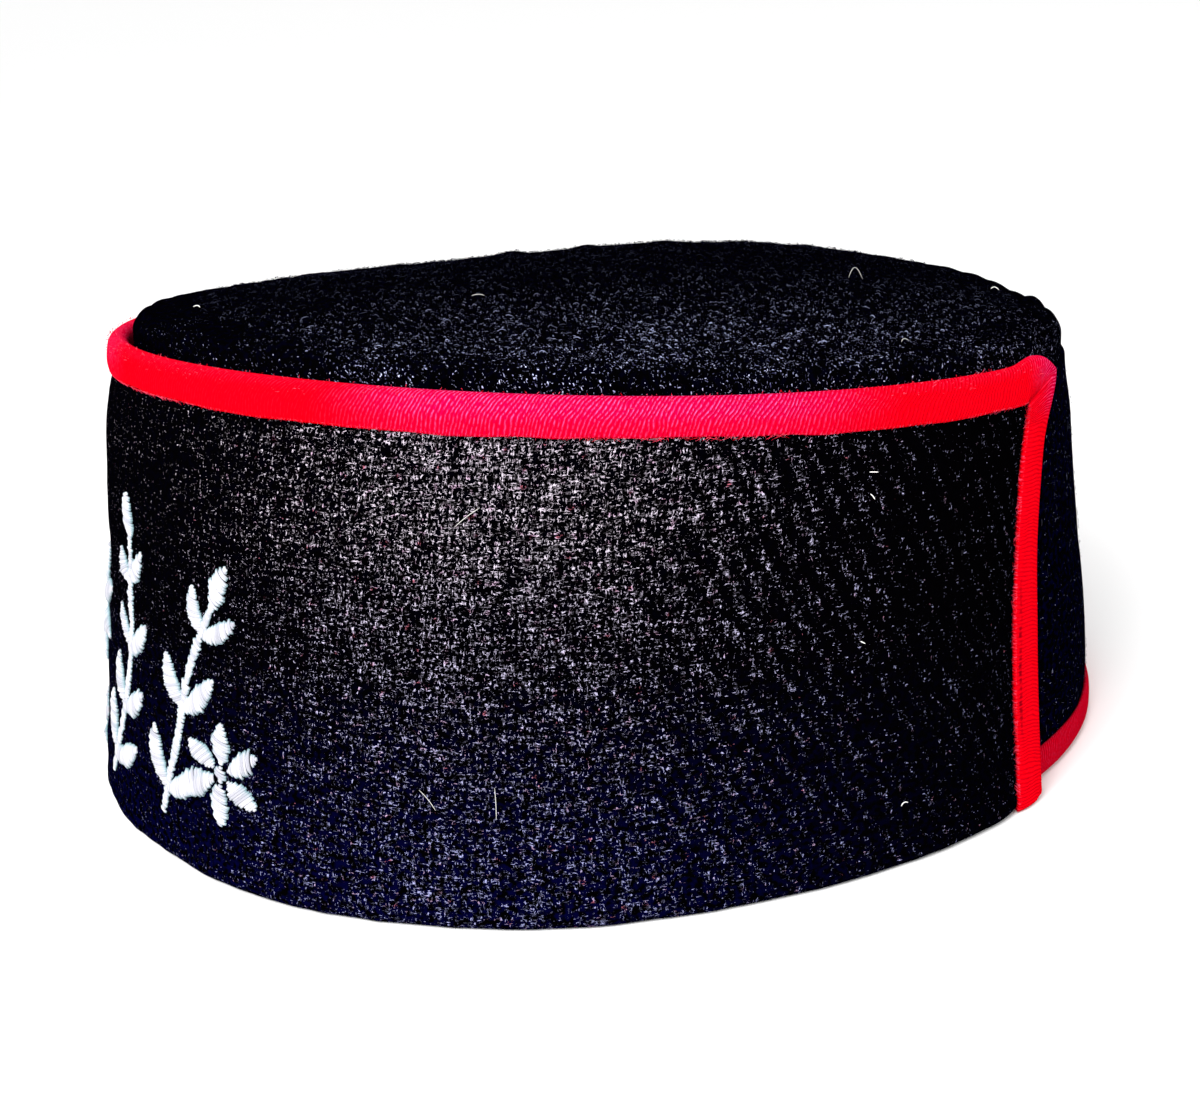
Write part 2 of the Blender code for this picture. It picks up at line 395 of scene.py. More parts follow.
# Ribs across a ribbon: sin of the run along it less a slant, which is steeper on the rolled part
def makeRibGroup():
    values = {"Pitch": 0.00085, "Middle": 0.008, "Slant": 0.15, "RolledSlant": 0.4}
    group, given, wanted = newGroup("ribbonRibs", values, ("Rib", "Fray", "Height"))
    run, across = partsOf(group, given["Cloth"])
    side = mathOf(group, "SUBTRACT", across, given["Middle"])
    rolled = productOf(group, mathOf(group, "MINIMUM", side, 0.0), given["RolledSlant"])
    lean = mathOf(group, "MULTIPLY_ADD", side, given["Slant"], rolled)
    drift = noiseOf(group, given["Cloth"], ribLook["driftScale"], 3.0)
    run = mathOf(group, "MULTIPLY_ADD", drift, ribLook["drift"], mathOf(group, "SUBTRACT", run, lean))
    wave = waveOf(group, mathOf(group, "DIVIDE", run, given["Pitch"]), 1.0)
    rib = mathOf(group, "MULTIPLY_ADD", wave, 0.5, 0.5)
    stretched = vectorOf(group, "MULTIPLY", given["Cloth"], ribLook["strandScales"])
    strands = noiseOf(group, stretched, 1.0, 2.0)
    height = mathOf(group, "MULTIPLY_ADD", strands, ribLook["strandHeight"], rib)
    for label, value in (("Rib", rib), ("Fray", strands), ("Height", height)):
        group.links.new(value, wanted[label])
    return group


fleckGroup = makeFleckGroup()
weaveGroup = makeWeaveGroup()
ribGroup = makeRibGroup()


def useGroup(tree, group, **sockets):
    return addNode(tree, "Group", sockets, node_tree=group).outputs


def newMaterial(name, fixed):
    material = bpy.data.materials.new(name)
    material.use_nodes = True
    tree = material.node_tree
    shader = tree.nodes["Principled BSDF"]
    for key, value in fixed.items():
        shader.inputs[key].default_value = value
    return material, tree, shader


def clothMaterial(name, fixed):
    material, tree, shader = newMaterial(name, fixed)
    cloth = addNode(tree, "UVMap", {}, uv_map="flatCloth").outputs[0]
    return material, tree, shader, cloth


def bumpBy(tree, shader, height, strength, distance):
    bump = addNode(tree, "Bump", {"Height": height, "Strength": strength, "Distance": distance})
    tree.links.new(bump.outputs[0], shader.inputs["Normal"])


feltLook = {
    "fixed": {"Roughness": 0.95, "Specular IOR Level": 0.0, "Metallic": 0.0},
    "ground": (0.0004, 0.0003, 0.0005, 1), "navy": (0.0006, 0.0006, 0.017, 1),
    "warm": (0.56, 0.49, 0.57, 1), "cool": (0.3, 0.31, 0.54, 1),
    "icy": (0.64, 0.68, 0.95, 1), "ink": (0.14, 0.14, 0.36, 1),
    "pink": (0.36, 0.1, 0.14, 1), "mauve": (0.46, 0.28, 0.42, 1),
    # metres round from the front's middle
    # frontFade and endFade also thin and dim the flecks, partly as painted shade
    "frontFade": (0.026, 0.105), "endFade": (0.112, 0.2), "rowFade": (0.118, 0.16),
    # heights on the cuff, then what the value is at each
    # Up the cuff: painted light brightens the flecks, a painted warm light tints them, and a painted blue fill
    # on the ground fades out
    "upFade": (0.032, 0.083, 0.66, 1.0), "paintedWarmFade": (0.018, 0.07), "paintedBlueFillFade": (0.004, 0.046, 1.0, 0.05),
    "leastFront": 0.04, "most": 0.49, "clumpScale": 210.0, "clumps": 0.09,
    "rowPitch": 0.0038, "rowLean": 0.5, "rowSway": 0.003, "rowShare": 0.16,
    "weavePitch": 0.00135, "weaveShare": (-0.17, 0.2), "weaveHeight": 0.6,
    "rareScale": 620.0, "mauveFrom": (0.6, 0.72, 0.0, 0.8), "pinkFrom": (0.77, 0.785),
    "cuffFleck": {"Length": 0.00078, "Width": 0.0002, "Wander": 0.0005},
    "crownFleck": {"Length": 0.0006, "Width": 0.00022, "Wander": 0.0006},
    "cuffShine": (0.16, 1.4), "crownShine": (0.25, 1.7),
    # places across the crown from its middle, then what the value is at each
    # Both thin and dim the crown's flecks towards the far side, as painted shade
    "crownFade": (0.006, 0.072, 0.05, 1.0), "crownPaintedLight": (0.000, 0.07, 0.07, 1.45),
    "crownStretch": (0.85, 1.0, 1.0), "crownScale": 60.0, "crownClumps": (-0.09, 0.05),
    "crownDusk": 0.12, "wallDusk": 0.45, "cuffBump": (0.8, 0.00032), "crownBump": (0.6, 0.00028),
}


# Felt of the cuff: black ground, weave, and grey fibres, fewest and dimmest at the front, towards the ends and
# low down, partly as painted shade.
# Near the ends they lie in slanting rows.
def makeCuffFelt():
    look = feltLook
    material, tree, shader, cloth = clothMaterial("cuffFelt", look["fixed"])
    along, height = partsOf(tree, cloth)
    weave = useGroup(tree, weaveGroup, Cloth=cloth, Pitch=look["weavePitch"])["Height"]
    fromFront = distanceOf(tree, along, cuffLength / 2)
    toEnd = fade(tree, fromFront, *look["endFade"], 1.0, 0.0)
    toFront = fade(tree, fromFront, *look["frontFade"], look["leastFront"], 1.0)
    # Where flecks are many and bright: partly the felt's own spread, partly painted shade towards the front,
    # the ends and the base
    fleckDensityAndPaintedLight = productOf(tree, toEnd, toFront, spread(tree, height, *look["upFade"]))
    slow = noiseOf(tree, cloth, look["clumpScale"], 2.0)
    lean = mathOf(tree, "MULTIPLY_ADD", height, -look["rowLean"], along)
    lean = mathOf(tree, "MULTIPLY_ADD", slow, look["rowSway"], lean)
    amount = chained(
        tree, "ADD", spread(tree, fleckDensityAndPaintedLight, 0.0, 1.0, 0.0, look["most"]),
        productOf(tree, waveOf(tree, lean, look["rowPitch"]),
                  fade(tree, fromFront, *look["rowFade"], 0.0, look["rowShare"])),
        spread(tree, slow, 0.35, 0.65, -look["clumps"], look["clumps"]),
        spread(tree, weave, 0.0, 1.0, *look["weaveShare"]))
    flecks = useGroup(tree, fleckGroup, Cloth=cloth, Amount=amount, **look["cuffFleck"])
    tone = flecks["Tone"]
    # Painted warm light: the flecks turn warmer towards the top of the cuff, away from the ends
    paintedWarmLight = productOf(tree, spread(tree, height, *look["paintedWarmFade"]), spread(tree, toEnd, 0.1, 0.9, 0.25))
    rare = noiseOf(tree, cloth, look["rareScale"], 0.0)
    fleck = blendOf(tree, paintedWarmLight, look["cool"], look["warm"])
    fleck = blendOf(tree, spread(tree, rare, *look["mauveFrom"]), fleck, look["mauve"])
    fleck = blendOf(tree, spread(tree, rare, *look["pinkFrom"]), fleck, look["pink"])
    # Share of fleck colour, dimmed where painted shade falls
    fleckShareWithPaintedLight = productOf(tree, flecks["Mask"], spread(tree, tone, 0.0, 1.0, *look["cuffShine"]),
                      spread(tree, fleckDensityAndPaintedLight, 0.0, 1.0, 0.85, 1.0))
    # Painted blue fill light: the ground turns navy towards the base of the cuff
    paintedBlueFill = productOf(tree, spread(tree, height, *look["paintedBlueFillFade"]), spread(tree, tone, 0.25, 0.9),
                     spread(tree, toEnd, 0.0, 1.0, 0.08, 1.0))
    ground = blendOf(tree, paintedBlueFill, look["ground"], look["navy"])
    tree.links.new(blendOf(tree, fleckShareWithPaintedLight, ground, fleck), shader.inputs["Base Color"])
    raised = mathOf(tree, "MULTIPLY_ADD", weave, look["weaveHeight"], flecks["Height"])
    bumpBy(tree, shader, raised, *look["cuffBump"])
    return material


# Felt of the crown and the wall: no weave, bluish fibres.
# On the crown they are fewer and dimmer from the near side to the far side, as painted shade.
def makeCrownFelt(name, amount, isCrown):
    look = feltLook
    material, tree, shader, cloth = clothMaterial(name, look["fixed"])
    laid, density, light, dusk = cloth, amount, 1.0, look["wallDusk"]
    if isCrown:
        sideways = partsOf(tree, cloth)[0]
        slow = noiseOf(tree, cloth, look["crownScale"], 2.0)
        clumps = spread(tree, slow, 0.35, 0.65, *look["crownClumps"])
        laid = vectorOf(tree, "MULTIPLY", cloth, look["crownStretch"])
        # Painted shade: towards the far side the flecks grow fewer and dimmer
        near = spread(tree, sideways, *look["crownFade"])
        density = mathOf(tree, "MULTIPLY_ADD", near, amount, clumps)
        light = spread(tree, sideways, *look["crownPaintedLight"])
        dusk = look["crownDusk"]
    flecks = useGroup(tree, fleckGroup, Cloth=laid, Amount=density, **look["crownFleck"])
    tone = flecks["Tone"]
    fleck = blendOf(tree, tone, look["ink"], look["icy"])
    fleckShareWithPaintedLight = productOf(tree, flecks["Mask"], spread(tree, tone, 0.0, 1.0, *look["crownShine"]), light)
    ground = blendOf(tree, spread(tree, tone, 0.4, 1.0, 0.0, dusk), look["ground"], look["navy"])
    tree.links.new(blendOf(tree, fleckShareWithPaintedLight, ground, fleck), shader.inputs["Base Color"])
    bumpBy(tree, shader, flecks["Height"], *look["crownBump"])
    return material


ribbonLook = {
    "fixed": {"Roughness": 0.6, "Specular IOR Level": 0.0, "Metallic": 0.0},
    # Painted light: deep is shade between the ribs, lit a highlight on their crests, and the magenta colour a
    # sheen
    "deep": (0.38, 0.0, 0.006, 1), "face": (0.79, 0.0, 0.0048, 1), "paintedSheen": (0.56, 0.0008, 0.058, 1),
    "lit": (0.95, 0.1, 0.32, 1), "seam": (0.2, 0.0, 0.004, 1), "pale": (1.0, 0.08, 0.18, 1),
    "ribPitch": 0.00075, "runStart": 0.1,
    # metres round from the front's middle, or from the corner
    # Spans of the painted magenta sheen, then of the seam
    "paintedSheenFrom": (0.074, 0.1), "paintedSheenTo": (0.15, 0.176), "frontPaintedSheen": (0.01, 0.026),
    "cornerPaintedSheen": (0.002, 0.012, 0.85, 0.0), "seamFrom": (0.034, 0.046), "seamTo": (0.064, 0.074),
    # bands across the ribbon from its middle, then what the value is at each side
    # Bands of the painted magenta sheen across the ribbon
    "cornerBand": (-0.0014, 0.003, 1.0, 0.1), "upperBand": (-0.0016, 0.0016, 1.0, 0.38),
    "rolledBand": (-0.004, -0.0014, 0.11, 0.0),
    "seamIn": 0.00155, "seamWave": 0.0011, "seamWaveScale": 260.0, "seamHalf": (0.00008, 0.0004, 0.9, 0.0),
    "stitchPitch": 0.0015, "frayedEdge": (0.0005, 0.0002), "bump": (0.8, 0.00022),
}


# Satin ribbon: ribs across it, painted shade of deeper red between them, a painted highlight on their crests,
# and a painted magenta sheen on the upper half.
# A seam with stitches runs down its upright ends; pale broken threads show at its edge.
def makeRibbonSatin(name, middle, width, dim=1.0, hemPaintedSheen=0.0):
    look = ribbonLook
    material, tree, shader, cloth = clothMaterial(name, look["fixed"])
    ribs = useGroup(tree, ribGroup, Cloth=cloth, Pitch=look["ribPitch"], Middle=middle)
    rib, fray = ribs["Rib"], ribs["Fray"]
    run, across = partsOf(tree, cloth)
    corner = cuffLength / 2
    fromFront = distanceOf(tree, run, look["runStart"] + corner)

    # dim darkens all of this copy's colours as painted shade
    def dimmed(key):
        return tuple(part * dim for part in look[key][:3]) + (1,)

    def band(key):
        low, high, *levels = look[key]
        return fade(tree, across, middle + low, middle + high, *levels)

    # Painted magenta sheen along the sides, at the front, on the folded corners, over the upper half and on the
    # rolled edge
    sides = productOf(tree, fade(tree, fromFront, *look["paintedSheenFrom"]),
                      fade(tree, fromFront, *look["paintedSheenTo"], 1.0, 0.0))
    paintedSheen = mathOf(tree, "ADD", sides, fade(tree, fromFront, *look["frontPaintedSheen"], 0.5, 0.0))
    folded = fade(tree, distanceOf(tree, fromFront, corner), *look["cornerPaintedSheen"])
    paintedSheen = mathOf(tree, "MAXIMUM", paintedSheen, productOf(tree, folded, band("cornerBand")))
    paintedSheen = productOf(tree, paintedSheen, band("upperBand"))
    # A painted sheen over all of a copy, and on the rolled edge
    paintedSheen = chained(tree, "MAXIMUM", paintedSheen, hemPaintedSheen, band("rolledBand"))
    # dim also lowers the painted sheen on a shaded copy
    paintedSheen = productOf(tree, paintedSheen, dim)
    body = blendOf(tree, paintedSheen, dimmed("face"), dimmed("paintedSheen"))
    # Painted shade in the hollows between the ribs
    ribHollowShade = productOf(tree, spread(tree, rib, 0.0, 0.45, 0.85, 0.0), spread(tree, fray, 0.35, 0.6, 0.5))
    body = blendOf(tree, ribHollowShade, body, dimmed("deep"))
    # Painted highlight on the rib crests, strongest where the sheen is painted
    ribPaintedHighlight = productOf(tree, spread(tree, rib, 0.62, 1.0), spread(tree, fray, 0.42, 0.62),
                      spread(tree, paintedSheen, 0.0, 1.0, 0.02, 1.0))
    body = blendOf(tree, ribPaintedHighlight, body, dimmed("lit"))
    if not hemPaintedSheen:
        below = mathOf(tree, "SUBTRACT", fromFront, corner)
        wavering = noiseOf(tree, cloth, look["seamWaveScale"], 3.0)
        line = mathOf(tree, "MULTIPLY_ADD", wavering, look["seamWave"], width - look["seamIn"])
        seam = productOf(
            tree, spread(tree, below, *look["seamFrom"]), spread(tree, below, *look["seamTo"], 1.0, 0.0),
            fade(tree, distanceOf(tree, across, line), *look["seamHalf"]),
            spread(tree, waveOf(tree, run, look["stitchPitch"]), 0.1, 0.8, 1.0, 0.35),
            spread(tree, wavering, 0.42, 0.56, 0.35, 1.0))
        body = blendOf(tree, seam, body, look["seam"])
    edge = spread(tree, across, *(width - inwards for inwards in look["frayedEdge"]))
    broken = productOf(tree, edge, spread(tree, fray, 0.58, 0.66, 0.0, 0.6))
    tree.links.new(blendOf(tree, broken, body, look["pale"]), shader.inputs["Base Color"])
    bumpBy(tree, shader, ribs["Height"], *look["bump"])
    return material


threadLook = {"twistScale": 5200.0, "bump": (0.35, 0.00008)}


# Loose thread: its own tone runs from dark to light; an edge colour, where given, is painted shadow at the
# stitches' edges
def makeThread(name, dark, light, fixed, edgeShadeColour=None):
    material, tree, shader = newMaterial(name, fixed)
    tone = addNode(tree, "Attribute", {}, attribute_name="tone").outputs["Fac"]
    colour = blendOf(tree, tone, dark, light)
    if edgeShadeColour:
        edge = addNode(tree, "Attribute", {}, attribute_name="edge").outputs["Fac"]
        colour = blendOf(tree, edge, colour, edgeShadeColour)
    tree.links.new(colour, shader.inputs["Base Color"])
    place = addNode(tree, "TexCoord", {}).outputs["Object"]
    bumpBy(tree, shader, noiseOf(tree, place, threadLook["twistScale"], 1.0), *threadLook["bump"])
    return material


cuffFelt = makeCuffFelt()
crownFelt = makeCrownFelt("crownFelt", 0.3, True)
wallFelt = makeCrownFelt("wallFelt", 0.04, False)
print("materials for the felt are ready")

# Crown: a domed oval with a rounded shoulder and a short skirt

crown = {
    "columns": 320, "domeRows": 58, "skirtRows": 4, "shoulderRows": 9,
    "flatHalf": (0.074, 0.092), "flatMean": 0.08,
    "dents": 0.00045, "dentCell": 0.021, "pebbles": 0.00014, "pebbleCell": 0.0042,
    "lumps": 0.00075, "lumpCell": 0.0085, "pucker": 0.00018, "puckers": 46, "puckerFade": 0.05,
    "backRise": 0.0011, "backAt": (-0.03, 0.052), "backSize": 0.03,
}


# Skirt, quarter round, then the dome: height = share of the rim + dome (1 - share squared)
def crownAt(angle, inset, drop, share):
    edge = wallAt(angle, rimAt(angle), cap["crownDepth"] + inset)
    z = cap["cuffHeight"] + share * riseAt(angle) + cap["crownLip"] + cap["crownDome"] * (1 - share ** 2) - drop
    x = share * edge[..., 0]
    y = share * (edge[..., 1] - cap["centreShift"]) + cap["centreShift"]
    z = z + crown["dents"] * unevenness(x, y, crown["dentCell"], 5)
    z = z + crown["pebbles"] * unevenness(x, y, crown["pebbleCell"], 6)
    z = z + crown["lumps"] * np.maximum(0, unevenness(x, y, crown["lumpCell"], 7)) ** 2
    atX, atY = crown["backAt"]
    z = z + crown["backRise"] * np.exp(-(((x - atX) ** 2 + (y - atY) ** 2) / crown["backSize"] ** 2))
    pucker = crown["pucker"] * np.sin(crown["puckers"] * angle + 2 * np.sin(3 * angle))
    z = z + pucker * np.exp(-((1 - share) / crown["puckerFade"]) ** 2)
    return stacked(x, y, z)


def makeCrown():
    radius = cap["shoulder"]
    skirt = np.linspace(radius + cap["skirt"], radius, crown["skirtRows"], endpoint=False)
    turn = np.linspace(np.pi / 2, 0, crown["shoulderRows"])
    dome = np.linspace(1, 0, crown["domeRows"] + 1)[1:]
    inset = np.concatenate([0 * skirt, radius * (1 - np.sin(turn)), radius + 0 * dome])
    drop = np.concatenate([skirt, radius * (1 - np.cos(turn)), 0 * dome])
    share = np.concatenate([1 + 0 * skirt, 1 + 0 * turn, dome])[:, None]
    around = circleOf(crown["columns"])
    points = crownAt(around[None, :-1], inset[:, None], drop[:, None], share)
    halfX, halfY = crown["flatHalf"]
    reach = share * np.stack([np.cos(around) * halfX, np.sin(around) * halfY])[:, None]
    beyond = np.concatenate([radius * np.pi / 2 + skirt - radius, radius * turn, 0 * dome])
    flat = np.moveaxis(reach * (1 + beyond[:, None] / crown["flatMean"]), 0, -1)
    piece = clothGrid("crownCloth", points, flat, crownFelt, cap["felt"], closed=True, pole=True)
    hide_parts("crown_top")


makeCrown()
print("crown is in place")

# Side wall of the body, seen at the open back and from inside

wall = {
    "columns": 320, "rows": 36, "flatRadius": 0.0885, "dents": 0.0005, "dentCell": 0.017,
    "topLean": 0.0012, "leanFade": (0.78, 0.95),
    "swell": 0.0009, "swellRun": 0.003, "swellFade": (0.4, 0.8), "openBlend": 8,
}


def crownFoot(angle):
    return rimAt(angle) + cap["crownLip"] - cap["shoulder"] - cap["skirt"]


# How far the open wall stands out: it swells above its bound hem and leans in under the crown
def wallOut(angle, height):
    level = height / rimAt(angle)
    free = np.maximum(0, height - (cap["wallFoot"] - cap["hemDrop"] - cap["roll"] + cap["faceWidth"]))
    swell = wall["swell"] * (1 - np.exp(-free / wall["swellRun"])) * (1 - easeOf(level, *wall["swellFade"]))
    lean = wall["topLean"] * easeOf(level, *wall["leanFade"])
    return np.minimum(wall["openBlend"] * openShare(angle), 1) * (swell - lean)


def makeWall():
    around = circleOf(wall["columns"])
    angle = around[:-1]
    isOpen = np.sin(angle) > math.sin(topEnd)
    foot = cap["wallFoot"] - cap["hemDrop"] * isOpen
    level = np.linspace(0, 1, wall["rows"])[:, None]
    height = foot + (crownFoot(angle) - cap["gap"] - foot) * level
    depth = cap["wallDepth"] - backEase(angle)
    x, y, z = np.moveaxis(wallAt(angle[None], height, depth[None]), -1, 0)
    bulge = 4 * level * (1 - level) * wall["dents"] * unevenness(x + z, y, wall["dentCell"], 9)
    points = wallAt(angle[None], height, depth + bulge * isOpen - wallOut(angle[None], height))
    tall = np.concatenate([height, height[:, :1]], axis=1)
    flat = stacked(wall["flatRadius"] * around[None], tall)
    piece = clothGrid("wallCloth", points, flat, wallFelt, cap["felt"], closed=True)
    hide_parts("crown_wall")


makeWall()
print("wall is in place")

# Cuff: its face swells past the bound edges, then folds under the wall

cuff = {
    "columns": 460, "faceRows": 62, "foldRows": 9, "underEnd": 0.005, "underEdge": 0.0045,
    "flatBack": 0.005, "flatLeg": 0.006,
    "dents": 0.00055, "dentCell": 0.023, "smallDents": 0.5, "smallCell": 0.01,
    "pebbles": 0.00014, "pebbleCell": 0.0031,
    "pinches": [(0.048, 0.026, 0.9), (0.168, 0.02, 1.00)], "pinchHeight": 0.013,
}


# Swell (1 - e^(-free / run)) past the bound edges, with slow dents and small pebbles on it
def swellAt(along, height):
    end = cap["endFaceWidth"]
    free = np.minimum(along - end, cuffLength - end - along)
    free = np.minimum(free, cuffRim(along) - cap["faceWidth"] - height)
    loose = 1 - np.exp(-np.maximum(0, free) / cap["swellRun"])
    small = cuff["smallDents"] * unevenness(along, height, cuff["smallCell"], 22)
    dents = cuff["dents"] * (unevenness(along, height, cuff["dentCell"], 21) + small)
    pebbles = cuff["pebbles"] * unevenness(along, height, cuff["pebbleCell"], 23)
    low = np.exp(-(height / cuff["pinchHeight"]) ** 2)
    held = sum(share * np.exp(-((along - at) / run) ** 2) for at, run, share in cuff["pinches"])
    return loose * (cap["cuffSwell"] * (1 - low * np.minimum(held, 1)) + dents + pebbles)


def cuffFace(along, height, out=0):
    return cuffAt(along, height, -swellAt(along, height) - out)


def makeCuff():
    radius = cap["foldRadius"]
    far = cap["wallDepth"] + cap["felt"]
    free = np.linspace(cap["endFaceWidth"], cuffLength - cap["endFaceWidth"], cuff["columns"])
    bound = np.array([cap["roll"], cuff["underEnd"]])
    along = np.concatenate([bound, free, cuffLength - bound[::-1]])[None]
    rim = cuffRim(along)
    rows, lengths = [], []

    def addRow(row, length):
        rows.append(row)
        lengths.append(length + 0 * along)

    for height in (rim - cap["roll"], rim - cuff["underEdge"]):
        addRow(cuffAt(along, height, 0 * along), height)
    for share in np.linspace(1, 0, cuff["faceRows"]):
        height = radius + (rim - cap["faceWidth"] - radius) * share
        addRow(cuffFace(along, height), height)
    turn = np.linspace(0, np.pi / 2, cuff["foldRows"] + 1)[1:]
    height = radius * (1 - np.sin(turn))[:, None] + 0 * along
    inwards = radius * (1 - np.cos(turn))
    for k in range(len(turn)):
        z = height[k:k + 1]
        addRow(cuffAt(along, z, inwards[k] - swellAt(along, z)), radius - radius * turn[k])
    for k in reversed(range(len(turn))):
        back = -cuff["flatBack"] - radius * (np.pi / 2 - turn[k])
        addRow(cuffAt(along, height[k:k + 1], far - inwards[k]), back)
    for z in (radius, radius + cap["foldLeg"]):
        addRow(cuffAt(along, z + 0 * along, far), -cuff["flatLeg"] - z)
    flat = stacked(along, np.concatenate(lengths))
    piece = clothGrid("cuffCloth", np.concatenate(rows), flat, cuffFelt, cap["felt"])
    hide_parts("cuff")


makeCuff()
print("cuff is in place")

# Ribbon binding over the cuff's edge, and over the hem at the open back

binding = {
    "topColumns": 520, "endRows": 110, "hemColumns": 170, "rollSteps": 9, "faceSteps": 9, "tailSteps": 9,
    "mitre": 0.01, "crown": 0.00022, "turnIn": 0.00028, "middleIn": 0.0034,
    "wave": 0.0003, "endWave": 0.009, "longWave": 0.017, "shortWave": 0.006, "hemWave": 0.013,
    "groove": 0.00022, "grooveAt": 0.0058, "grooveHalf": 0.0005, "grooveFrom": (0.018, 0.028),
    "knobOut": 0.0011, "knobUp": 0.0011, "knobThick": 0.0004, "knobSize": 0.0065,
    "knobAt": 0.0045, "upAt": 0.006, "tipDrop": 0.0013, "tipSize": 0.0026,
    "waist": 0.0009, "waistFrom": (0.007, 0.016), "waistTo": (0.03, 0.052),
    # depth between the face and the tucked side; feet of the face, the tucked side and the roll
    "between": 0.0014, "faceFoot": 0.0004, "tuckedFoot": 0.0034, "rollFoot": 0.0014, "tailTop": 0.0042,
    "hemTucked": 0.85, "hemThinner": 0.0002,
}


# Profile from the tucked side over the edge to the face, as reach back from the edge and depth
def ribbonProfile(middle):
    roll = cap["roll"]
    turn = np.linspace(np.pi, 0, binding["rollSteps"])
    share = np.linspace(0, 1, binding["faceSteps"] + 1)[1:]
    tucked = np.array([cap["tuckedWidth"], cap["tuckedWidth"] * 0.6])
    reach = np.concatenate([tucked, roll * (1 - np.sin(turn)), roll + (cap["faceWidth"] - roll) * share])
    rounded = binding["crown"] * np.sin(np.pi * share) - binding["turnIn"] * share ** 6
    depth = np.concatenate([middle + roll + 0 * tucked, middle - roll * np.cos(turn), middle - roll - rounded])
    onFace = np.concatenate([0 * tucked, 0 * turn, share])
    return reach, depth, onFace


def profileRun(reach, depth):
    return np.concatenate([[0], np.cumsum(np.hypot(np.diff(reach), np.diff(depth)))])


# e^(-(distance / size) squared)
def bellOf(distance, size):
    return np.exp(-(distance / size) ** 2)


# Both folded corners are bulky, with a rounded tip, and the upright ends are narrower below them
def bindingAt(along, height, depth):
    inFromEnd = np.minimum(along, cuffLength - along)
    below = cuffRim(along) - height
    nearEnd = bellOf(inFromEnd, binding["knobSize"])
    nearTop = bellOf(below, binding["knobSize"])
    narrower = easeOf(below, *binding["waistFrom"]) * (1 - easeOf(below, *binding["waistTo"]))
    size = binding["knobAt"]
    out = binding["knobOut"] * bellOf(below - size, size) - binding["waist"] * narrower
    up = binding["knobUp"] * bellOf(inFromEnd - binding["upAt"], size)
    up = up - binding["tipDrop"] * bellOf(inFromEnd, binding["tipSize"])
    outwards = np.where(along < cuffLength / 2, -1, 1)
    thicker = binding["knobThick"] * nearEnd * nearTop * np.sign(binding["between"] - depth)
    return cuffAt(along + outwards * out * nearEnd, height + up * nearTop, depth - thicker)


def makeCuffBinding(material):
    reach, depth, onFace = ribbonProfile(cap["felt"] / 2)
    ends = np.where(onFace > 0, cap["roll"] + (cap["endFaceWidth"] - cap["roll"]) * onFace, reach)
    across = profileRun(reach, depth)
    foot = np.where(depth > binding["between"], binding["tuckedFoot"], binding["rollFoot"])
    foot = np.where(onFace > 0, binding["faceFoot"], foot)[:, None]
    outer = cap["foldRadius"] + cap["gap"] + cap["ribbon"]
    drop = np.concatenate([0.0006 * np.arange(1, 16), np.linspace(0.01, 0.084, binding["endRows"])])
    low, steps = binding["tailTop"], binding["tailSteps"]
    reach, depth, ends = reach[:, None], depth[:, None], ends[:, None]
    waving = binding["wave"] * onFace[:, None] ** 2

    # The upright end down to its tail, which goes round the fold under the cuff
    def end(isNear):
        border = 0 if isNear else cuffLength
        rim = float(cuffRim(border))
        free = drop[drop < rim - low][None]
        height = rim - free - reach * np.maximum(0, 1 - free / binding["mitre"])
        wavy = unevenness(free, 0 * free + 3 * isNear, binding["endWave"], 31) * waving
        grooveFrom, grooveFull = binding["grooveFrom"]
        groove = binding["groove"] * bellOf(ends - binding["grooveAt"], binding["grooveHalf"])
        groove = groove * np.clip((free - grooveFrom) / (grooveFull - grooveFrom), 0, 1)
        upright = bindingAt(np.abs(border - ends - wavy), height, depth + groove)
        lift = foot + np.linspace(1, 0, steps)[None] * (low - foot)
        under = np.maximum(cap["foldRadius"] - lift, 0)
        tuck = outer - np.sqrt(outer ** 2 - under ** 2)
        tail = cuffAt(np.abs(border - ends) + 0 * lift, lift, depth + tuck)
        run = np.concatenate([free[0], rim - low + 0.0005 * np.arange(steps)])
        return np.concatenate([upright, tail], axis=1), run

    near, nearRun = end(True)
    far, farRun = end(False)
    column = np.linspace(0, cuffLength, binding["topColumns"])[None]
    slantNear = np.maximum(0, 1 - column / binding["mitre"])
    slantFar = np.maximum(0, 1 - (cuffLength - column) / binding["mitre"])
    along = column + ends * (slantNear - slantFar)
    wavy = unevenness(column, 0 * column, binding["longWave"], 33)
    wavy = wavy + 0.6 * unevenness(column, 0 * column, binding["shortWave"], 34)
    top = bindingAt(along, cuffRim(along) - reach - wavy * waving, depth + 0 * along)
    points = np.concatenate([near[:, ::-1], top, far], axis=1)
    run = np.concatenate([-nearRun[::-1], column[0], cuffLength + farRun])
    flat = stacked(run[None] + ribbonLook["runStart"], across[:, None])
    piece = clothGrid("cuffRibbon", points, flat, material, cap["ribbon"])
    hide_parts("cuff_binding")


def makeHemBinding(material):
    middle = cap["wallDepth"] + cap["felt"] / 2
    reach, depth, onFace = ribbonProfile(middle)
    depth = np.where(depth < middle, middle + (depth - middle) * binding["hemTucked"], depth)
    foot = cap["wallFoot"] - cap["hemDrop"] - cap["roll"]
    column = np.linspace(cap["gap"], backLength - cap["gap"], binding["hemColumns"])[None]
    wavy = binding["wave"] * unevenness(column, 0 * column, binding["hemWave"], 37) * onFace[:, None] ** 2
    points = backAt(column, foot + reach[:, None] + wavy, depth[:, None] + 0 * column)
    across = profileRun(reach, depth)
    flat = stacked(column, across[:, None])
    piece = clothGrid("hemRibbon", points, flat, material, cap["ribbon"] - binding["hemThinner"])
    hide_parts("hem_binding")


